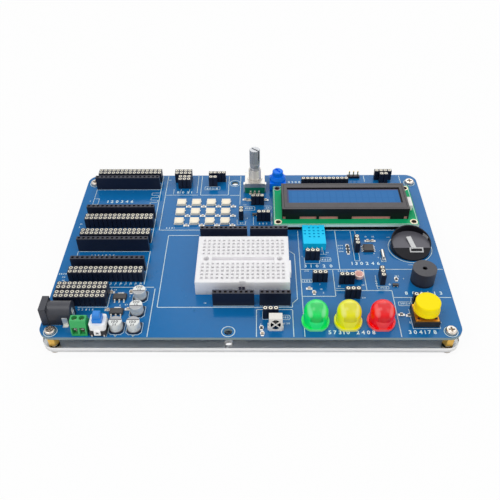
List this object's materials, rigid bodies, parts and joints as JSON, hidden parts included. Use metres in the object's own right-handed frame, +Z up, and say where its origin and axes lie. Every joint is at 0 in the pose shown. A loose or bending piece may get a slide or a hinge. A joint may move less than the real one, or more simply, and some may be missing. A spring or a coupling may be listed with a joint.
{
  "type": "microcontroller development board",
  "caption": "All-in-one teaching board for microcontrollers on a clear base plate, with controller sockets, breadboard, character display, lamps, sensors and power inlet.",
  "frame": {"origin": "under the middle of the board, on the surface that the lower screw heads stand on", "axes": "+X along the long side towards the coin cell holder, +Y from the front edge (lamps, terminal) to the back edge (encoder), +Z up"},
  "size_m": [0.2, 0.13, 0.04],
  "materials": {
    "blue_board": "glossy solder mask",
    "clear_plate": "clear acrylic",
    "brass": "turned",
    "screw_steel": "nickel plated",
    "black_moulding": "moulded",
    "contact_metal": "tin plated",
    "gold_metal": "gold flashed",
    "white_moulding": "moulded",
    "foam": "foam tape",
    "green_board": "glossy solder mask",
    "black_metal": "black oxide",
    "display_glass": "blue display glass",
    "light_guide": "diffusing",
    "lamp_body": "moulded",
    "lamp_window": "clear resin",
    "green_lens": "diffused resin",
    "yellow_lens": "diffused resin",
    "red_lens": "diffused resin",
    "cast_metal": "die cast",
    "phenolic": "laminate",
    "yellow_cap": "moulded",
    "steel": "stamped",
    "blue_moulding": "moulded",
    "green_moulding": "moulded",
    "dark_moulding": "moulded",
    "aluminium": "sleeved can",
    "sensor_ceramic": "coated ceramic",
    "dark_resin": "infrared resin",
    "trimmer_blue": "moulded"
  },
  "bodies": {
    "board": {"main_board": "blue_board", "base_plate": "clear_plate", "standoffs": "brass", "top_screws": "screw_steel", "bottom_screws": "screw_steel", "socket_strips": "black_moulding", "spring_contacts": "gold_metal", "breakout_sockets": "black_moulding", "module_headers": "black_moulding", "contact_sleeves": "contact_metal", "header_pins": "gold_metal", "breadboard": "white_moulding", "breadboard_pad": "foam", "display_board": "green_board", "display_bezel": "black_metal", "display_light_guide": "light_guide", "display_glass": "display_glass", "color_lamp_bodies": "lamp_body", "color_lamp_windows": "lamp_window", "green_traffic_lamp": "green_lens", "yellow_traffic_lamp": "yellow_lens", "red_traffic_lamp": "red_lens", "encoder_housing": "cast_metal", "encoder_base": "phenolic", "trimmer_body": "trimmer_blue", "button_base": "dark_moulding", "button_plate": "steel", "button_dome": "steel", "humidity_sensor_case": "blue_moulding", "humidity_sensor_board": "green_board", "light_sensor": "sensor_ceramic", "infrared_shield": "steel", "infrared_lens": "dark_resin", "crystal_can": "steel", "coin_cell_holder": "black_moulding", "coin_cell_contacts": "contact_metal", "buzzer_case": "black_moulding", "buzzer_coil_and_base": "dark_moulding", "buzzer_diaphragm": "steel", "power_socket_housing": "black_moulding", "power_contacts": "contact_metal", "terminal_housing": "green_moulding", "power_switch_base": "dark_moulding", "power_switch_cover": "white_moulding", "capacitor_cans": "aluminium", "capacitor_bases": "black_moulding", "chip_packages": "black_moulding", "small_chips": "dark_moulding", "soldered_leads": "contact_metal"},
    "encoder_pusher": {"encoder_push_plate": "dark_moulding"},
    "encoder_knob_shaft": {"encoder_shaft": "aluminium", "encoder_contact_wheel": "contact_metal"},
    "trimmer_dial": {"trimmer_knob": "trimmer_blue"},
    "button": {"button_plunger": "dark_moulding", "button_cap": "yellow_cap"},
    "switch_slider": {"power_switch_slider": "blue_moulding"},
    "left_screw": {"terminal_screw_left": "screw_steel"},
    "left_cage": {"terminal_cage_left": "screw_steel"},
    "right_screw": {"terminal_screw_right": "screw_steel"},
    "right_cage": {"terminal_cage_right": "screw_steel"}
  },
  "joints": [
    {"name": "encoder_push", "type": "slide", "parent": "board", "child": "encoder_pusher", "axis": [0, 0, -1], "range_m": [0, 0.0005], "stiffness_N_per_m": 600, "springref_m": -0.0006},
    {"name": "encoder_turn", "type": "hinge", "parent": "encoder_pusher", "child": "encoder_knob_shaft", "pos_m": [0.0019, 0.0524, 0.027], "axis": [0, 0, 1], "continuous": true},
    {"name": "trimmer_turn", "type": "hinge", "parent": "board", "child": "trimmer_dial", "pos_m": [0.0155, 0.0535, 0.021], "axis": [0, 0, 1], "range_deg": [-155, 155]},
    {"name": "button_press", "type": "slide", "parent": "board", "child": "button", "axis": [0, 0, -1], "range_m": [0, 0.0005], "stiffness_N_per_m": 600, "springref_m": -0.0006},
    {"name": "power_switch_press", "type": "slide", "parent": "board", "child": "switch_slider", "axis": [0, 0, -1], "range_m": [0, 0.002], "stiffness_N_per_m": 300, "springref_m": -0.0008},
    {"name": "terminal_left_screw_turn", "type": "hinge", "parent": "board", "child": "left_screw", "pos_m": [-0.0814, -0.0607, 0.02], "axis": [0, 0, 1], "range_deg": [-540, 0]},
    {"name": "terminal_left_cage_rise", "type": "slide", "parent": "board", "child": "left_cage", "axis": [0, 0, 1], "range_m": [0, 0.0006]},
    {"name": "terminal_right_screw_turn", "type": "hinge", "parent": "board", "child": "right_screw", "pos_m": [-0.0779, -0.0607, 0.02], "axis": [0, 0, 1], "range_deg": [-540, 0]},
    {"name": "terminal_right_cage_rise", "type": "slide", "parent": "board", "child": "right_cage", "axis": [0, 0, 1], "range_m": [0, 0.0006]}
  ],
  "couplings": [
    {"joint": "terminal_left_screw_turn", "follows": "terminal_left_cage_rise", "rad_per_m": -15708},
    {"joint": "terminal_right_screw_turn", "follows": "terminal_right_cage_rise", "rad_per_m": -15708}
  ]
}
